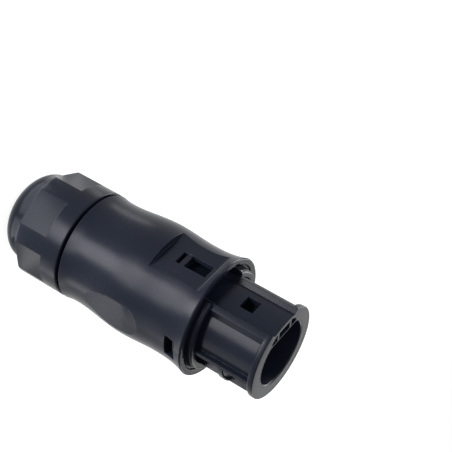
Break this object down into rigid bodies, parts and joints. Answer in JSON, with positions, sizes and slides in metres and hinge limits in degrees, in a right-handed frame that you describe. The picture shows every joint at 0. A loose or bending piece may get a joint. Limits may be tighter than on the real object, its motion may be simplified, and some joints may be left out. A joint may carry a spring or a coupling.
{
  "type": "microinverter_ac_connector",
  "caption": "Male AC connector for a microinverter: gland nut, waisted shell and round keyed nose with recessed socket contacts in insulating tubes",
  "frame": {"origin": "centre of the flat ring on which the cap nut's end stands", "axes": "+Z along the connector's axis to the mating face, key deck facing -Y, +X to the right as seen from the key side"},
  "size_m": [0.036, 0.036, 0.0891],
  "materials": {
    "nut_plastic": "satin charcoal polyamide",
    "shell_plastic": "satin charcoal polyamide",
    "carrier_plastic": "satin charcoal polyamide",
    "block_plastic": "satin black polyamide",
    "cage_plastic": "matte dark grey polyamide",
    "seal_rubber": "matte black rubber",
    "contact_alloy": "plated copper alloy, pale champagne",
    "spring_steel": "bright spring steel",
    "leaf_brass": "plain brass",
    "screw_steel": "zinc plated steel"
  },
  "bodies": {
    "nut": {"cap_nut": "nut_plastic"},
    "gland": {"clamp_cage": "cage_plastic", "cable_seal": "seal_rubber"},
    "housing": {"shell": "shell_plastic", "contact_carrier": "carrier_plastic", "core_seal": "seal_rubber", "terminal_block": "block_plastic", "wire_guide": "cage_plastic", "contact_line": "contact_alloy", "contact_neutral": "contact_alloy", "contact_earth": "contact_alloy", "collar_line": "spring_steel", "collar_neutral": "spring_steel", "collar_earth": "spring_steel"},
    "leaf_line": {"leaf_line": "leaf_brass"},
    "screw_line": {"screw_line": "screw_steel"},
    "leaf_neutral": {"leaf_neutral": "leaf_brass"},
    "screw_neutral": {"screw_neutral": "screw_steel"},
    "leaf_earth": {"leaf_earth": "leaf_brass"},
    "screw_earth": {"screw_earth": "screw_steel"}
  },
  "joints": [
    {"name": "nut_turn", "type": "hinge", "parent": "nut", "child": "gland", "pos_m": [0, 0, 0.0142], "axis": [0, 0, 1], "range_deg": [-162.01, 1080.01]},
    {"name": "nut_travel", "type": "slide", "parent": "gland", "child": "housing", "axis": [0, 0, 1], "range_m": [-0.0009, 0.006]},
    {"name": "leaf_line_travel", "type": "slide", "parent": "housing", "child": "leaf_line", "axis": [-0.866, 0.5, 0], "range_m": [0, 0.002]},
    {"name": "screw_line_turn", "type": "hinge", "parent": "leaf_line", "child": "screw_line", "pos_m": [0.00398, -0.0023, 0.0465], "axis": [-0.866, 0.5, 0], "range_deg": [0, 1440.01]},
    {"name": "leaf_neutral_travel", "type": "slide", "parent": "housing", "child": "leaf_neutral", "axis": [0.866, 0.5, 0], "range_m": [0, 0.002]},
    {"name": "screw_neutral_turn", "type": "hinge", "parent": "leaf_neutral", "child": "screw_neutral", "pos_m": [-0.00398, -0.0023, 0.0465], "axis": [0.866, 0.5, 0], "range_deg": [0, 1440.01]},
    {"name": "leaf_earth_travel", "type": "slide", "parent": "housing", "child": "leaf_earth", "axis": [0, -1, 0], "range_m": [0, 0.002]},
    {"name": "screw_earth_turn", "type": "hinge", "parent": "leaf_earth", "child": "screw_earth", "pos_m": [0, 0.0046, 0.0465], "axis": [0, -1, 0], "range_deg": [0, 1440.01]}
  ],
  "couplings": [
    {"joint": "nut_turn", "follows": "nut_travel", "rad_per_m": 3141.6},
    {"joint": "screw_line_turn", "follows": "leaf_line_travel", "rad_per_m": 12566},
    {"joint": "screw_neutral_turn", "follows": "leaf_neutral_travel", "rad_per_m": 12566},
    {"joint": "screw_earth_turn", "follows": "leaf_earth_travel", "rad_per_m": 12566}
  ]
}
